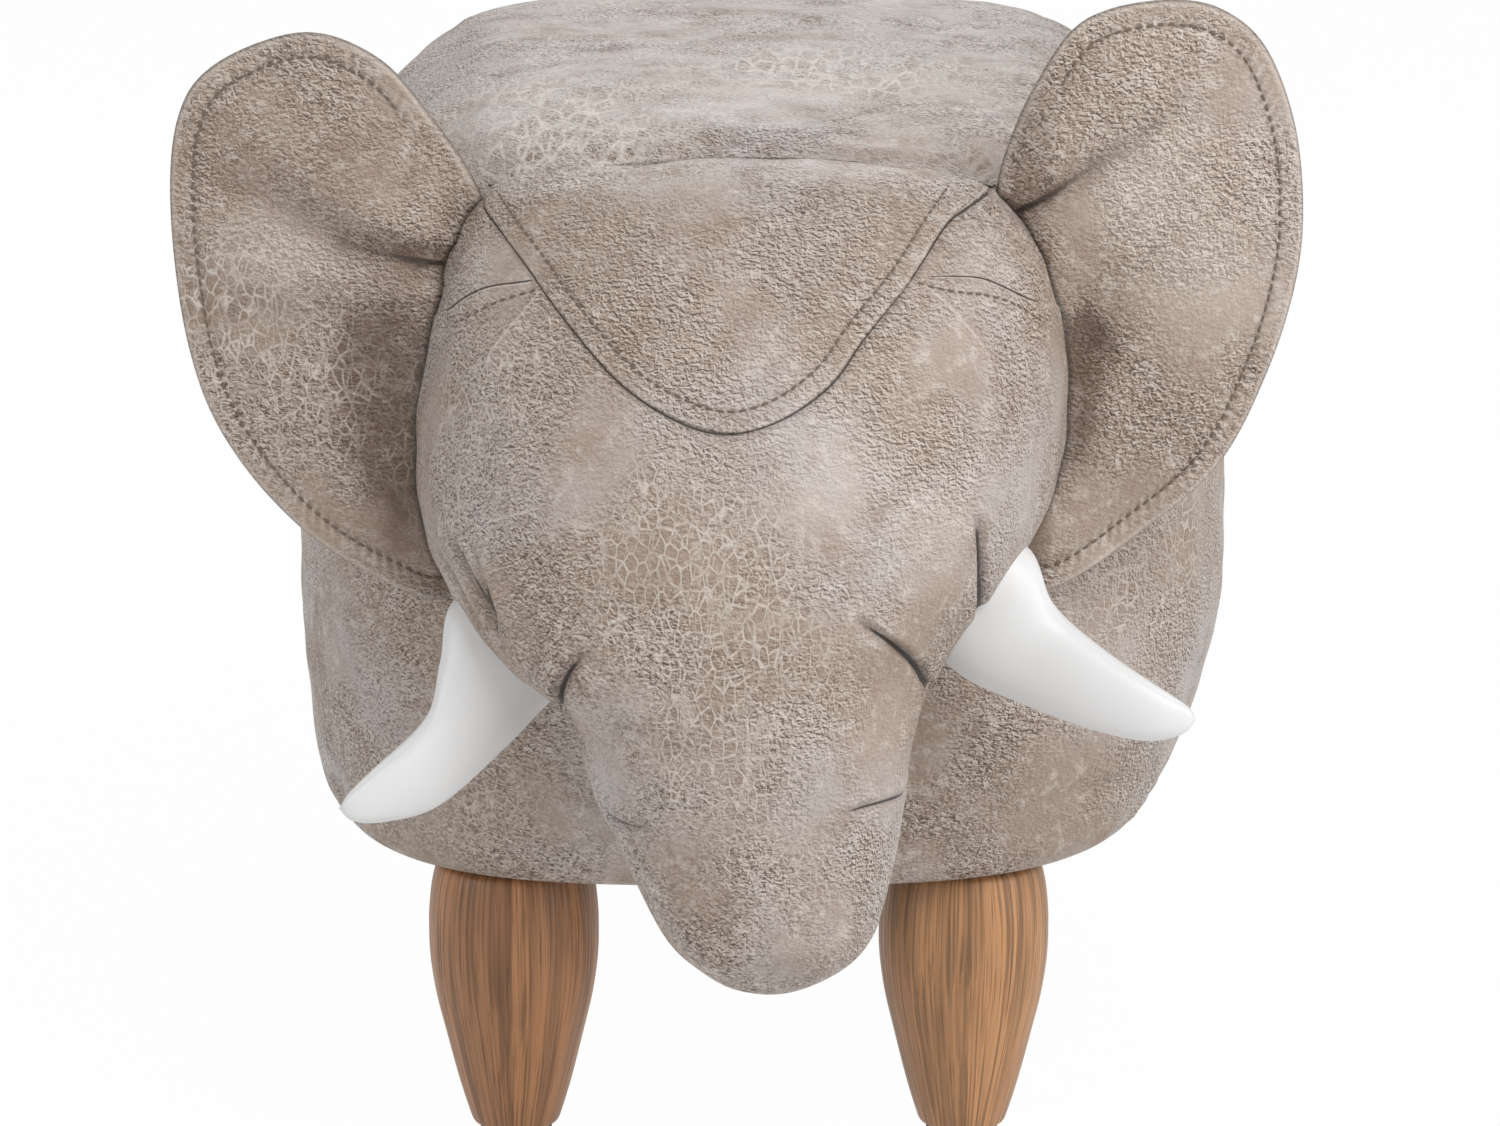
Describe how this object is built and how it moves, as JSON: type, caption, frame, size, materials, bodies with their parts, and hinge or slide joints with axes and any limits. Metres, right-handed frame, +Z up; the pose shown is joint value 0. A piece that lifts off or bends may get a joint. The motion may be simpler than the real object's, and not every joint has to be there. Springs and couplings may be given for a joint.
{
  "type": "storage pouf",
  "caption": "Low padded stool shaped like an elephant: a hinged seat over a storage tub, with a stuffed head, trunk, ears and tusks, and short turned wooden legs.",
  "frame": {"origin": "on the floor under the middle of the overall box", "axes": "+Z up; the elephant faces -Y, so +Y runs from its face to its tail; +X is to the right as seen from the front"},
  "size_m": [0.376, 0.5501, 0.418],
  "materials": {
    "taupe_hide": "satin",
    "white_hide": "satin",
    "oak": "satin",
    "plywood": "matte",
    "foam": "matte",
    "lining_cloth": "matte",
    "dust_cloth": "matte",
    "felt": "matte",
    "rubber": "matte",
    "steel": "satin"
  },
  "bodies": {
    "base": {"base_plate": "plywood", "dust_sheet": "dust_cloth", "front_wall": "plywood", "rear_wall": "plywood", "left_wall": "plywood", "right_wall": "plywood", "tub_lining": "lining_cloth", "front_pad": "foam", "rear_pad": "foam", "left_pad": "foam", "right_pad": "foam", "left_body_cover": "taupe_hide", "right_body_cover": "taupe_hide", "left_hinge_fixed_leaf": "steel", "right_hinge_fixed_leaf": "steel", "left_hinge_pin": "steel", "right_hinge_pin": "steel", "left_lid_bumper": "rubber", "right_lid_bumper": "rubber", "front_left_leg": "oak", "front_right_leg": "oak", "rear_left_leg": "oak", "rear_right_leg": "oak", "front_left_leg_glide": "felt", "front_right_leg_glide": "felt", "rear_left_leg_glide": "felt", "rear_right_leg_glide": "felt", "front_left_leg_bolt": "steel", "front_right_leg_bolt": "steel", "rear_left_leg_bolt": "steel", "rear_right_leg_bolt": "steel", "front_left_leg_nut": "steel", "front_right_leg_nut": "steel", "rear_left_leg_nut": "steel", "rear_right_leg_nut": "steel", "head": "taupe_hide", "trunk": "taupe_hide", "forehead_panel": "taupe_hide", "left_ear_front": "taupe_hide", "left_ear_back": "taupe_hide", "right_ear_front": "taupe_hide", "right_ear_back": "taupe_hide", "left_tusk": "white_hide", "right_tusk": "white_hide", "tail": "taupe_hide", "tail_tuft": "taupe_hide"},
    "lid": {"lid_board": "plywood", "seat_foam": "foam", "seat_cover": "taupe_hide", "lid_lining": "lining_cloth", "left_hinge_moving_leaf": "steel", "right_hinge_moving_leaf": "steel"}
  },
  "joints": [
    {"name": "lid_hinge", "type": "hinge", "parent": "base", "child": "lid", "pos_m": [0, 0.257, 0.26405], "axis": [-1, 0, 0], "range_deg": [0, 100]}
  ]
}
